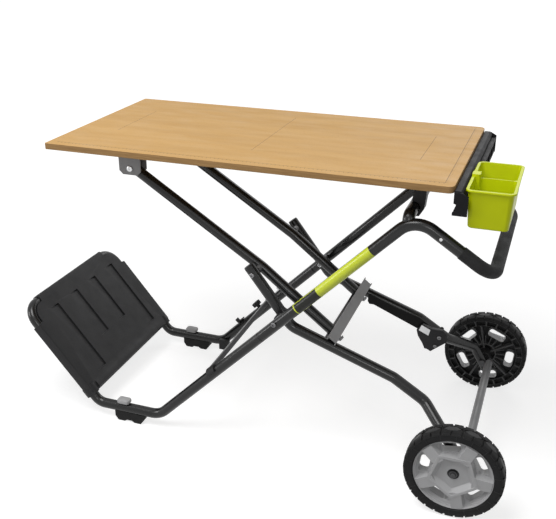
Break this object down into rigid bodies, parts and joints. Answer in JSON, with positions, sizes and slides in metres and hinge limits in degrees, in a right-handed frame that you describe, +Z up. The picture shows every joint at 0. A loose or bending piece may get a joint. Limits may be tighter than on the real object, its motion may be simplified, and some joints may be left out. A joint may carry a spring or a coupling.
{
  "type": "folding workbench",
  "caption": "Folding workbench and hand truck: board top on nested bent-tube frames, large wheels, toe plate, foam handle and a lift-off divided bin on an end rail.",
  "frame": {"origin": "on the floor, under the middle of the unfolded bench", "axes": "+X along the worktop towards the handle and bin, +Y across it away from the bin's side, +Z up"},
  "size_m": [1.3493, 0.647, 0.8],
  "materials": {
    "frame_paint": "satin powder coat",
    "bright_steel": "zinc plated",
    "grey_paint": "satin powder coat",
    "board": "sealed fibreboard",
    "dark_plastic": "fine moulded grain",
    "foam": "closed-cell foam",
    "foot_rubber": "moulded",
    "tyre": "moulded tread",
    "rail_plastic": "fine moulded grain",
    "bin_plastic": "semi-gloss moulded",
    "hub_plastic": "fine moulded grain"
  },
  "bodies": {
    "frame": {"handle_tube": "frame_paint", "toe_loop_tube": "frame_paint", "handle_grip": "foam", "upper_cross_tube": "frame_paint", "lower_cross_bar": "grey_paint", "latch_hook": "dark_plastic", "latch_clip": "bright_steel", "stop_block": "dark_plastic", "toe_plate": "dark_plastic", "frame_splice_near": "bright_steel", "frame_splice_far": "bright_steel", "foot_pad_near": "foot_rubber", "foot_pad_far": "foot_rubber", "foot_cap_near": "bright_steel", "foot_cap_far": "bright_steel", "pivot_bolt_near": "bright_steel", "pivot_bolt_far": "bright_steel", "pivot_spacer_near": "bright_steel", "pivot_spacer_far": "bright_steel", "pivot_nut_near": "bright_steel", "pivot_nut_far": "bright_steel"},
    "knob": {"latch_knob": "dark_plastic"},
    "wheel_legs": {"leg_brace_tube": "grey_paint", "latch_plate": "bright_steel", "pedal_bolt": "bright_steel", "wheel_leg_near": "frame_paint", "wheel_leg_far": "frame_paint", "knee_bolt_near": "bright_steel", "knee_bolt_far": "bright_steel", "stub_axle_near": "bright_steel", "stub_axle_far": "bright_steel", "axle_nut_near": "bright_steel", "axle_nut_far": "bright_steel"},
    "pedal": {"latch_pedal": "dark_plastic", "pedal_pin": "bright_steel"},
    "wheel_near": {"tyre_near": "tyre", "wheel_core_near": "dark_plastic", "wheel_cover_near": "hub_plastic"},
    "wheel_far": {"tyre_far": "tyre", "wheel_core_far": "dark_plastic", "wheel_cover_far": "hub_plastic"},
    "worktop": {"worktop": "board", "accessory_rail": "rail_plastic", "strut_bracket_near": "grey_paint", "strut_bracket_far": "grey_paint", "strut_bolt_near": "bright_steel", "strut_bolt_far": "bright_steel", "hinge_lug_near": "dark_plastic", "hinge_lug_far": "dark_plastic"},
    "bin": {"parts_bin": "bin_plastic"},
    "struts": {"stop_channel": "grey_paint", "strut_near": "frame_paint", "strut_far": "frame_paint", "knee_spacer_near": "grey_paint", "knee_spacer_far": "grey_paint", "stop_bolt_near": "bright_steel", "stop_bolt_far": "bright_steel"}
  },
  "joints": [
    {"name": "fold", "type": "hinge", "parent": "frame", "child": "wheel_legs", "pos_m": [0.088, 0, 0.388], "axis": [0, 1, 0], "range_deg": [0, 86]},
    {"name": "worktop_fold", "type": "hinge", "parent": "frame", "child": "worktop", "pos_m": [0.4005, 0, 0.709], "axis": [0, -1, 0], "range_deg": [0, 43.36]},
    {"name": "strut_fold", "type": "hinge", "parent": "worktop", "child": "struts", "pos_m": [-0.34, 0, 0.715], "axis": [0, -1, 0], "range_deg": [0, 28.55]},
    {"name": "wheel_spin_near", "type": "hinge", "parent": "wheel_legs", "child": "wheel_near", "pos_m": [0.5627, -0.301, 0.1185], "axis": [0, 1, 0], "continuous": true},
    {"name": "wheel_spin_far", "type": "hinge", "parent": "wheel_legs", "child": "wheel_far", "pos_m": [0.5627, 0.301, 0.1185], "axis": [0, 1, 0], "continuous": true},
    {"name": "pedal_press", "type": "hinge", "parent": "wheel_legs", "child": "pedal", "pos_m": [0.445, 0.1435, 0.223], "axis": [0, -1, 0], "range_deg": [0, 20], "stiffness_Nm_per_rad": 0.4, "springref_deg": -14.32},
    {"name": "bin_lift", "type": "slide", "parent": "worktop", "child": "bin", "axis": [0, 0, 1], "range_m": [0, 0.12]},
    {"name": "knob_turn", "type": "hinge", "parent": "frame", "child": "knob", "pos_m": [-0.11824, 0.222, 0.17376], "axis": [-0.7071, 0, 0.7071], "continuous": true}
  ],
  "couplings": [
    {"joint": "worktop_fold", "follows": "fold", "ratio": 0.5041},
    {"joint": "strut_fold", "follows": "fold", "ratio": 0.3319}
  ]
}
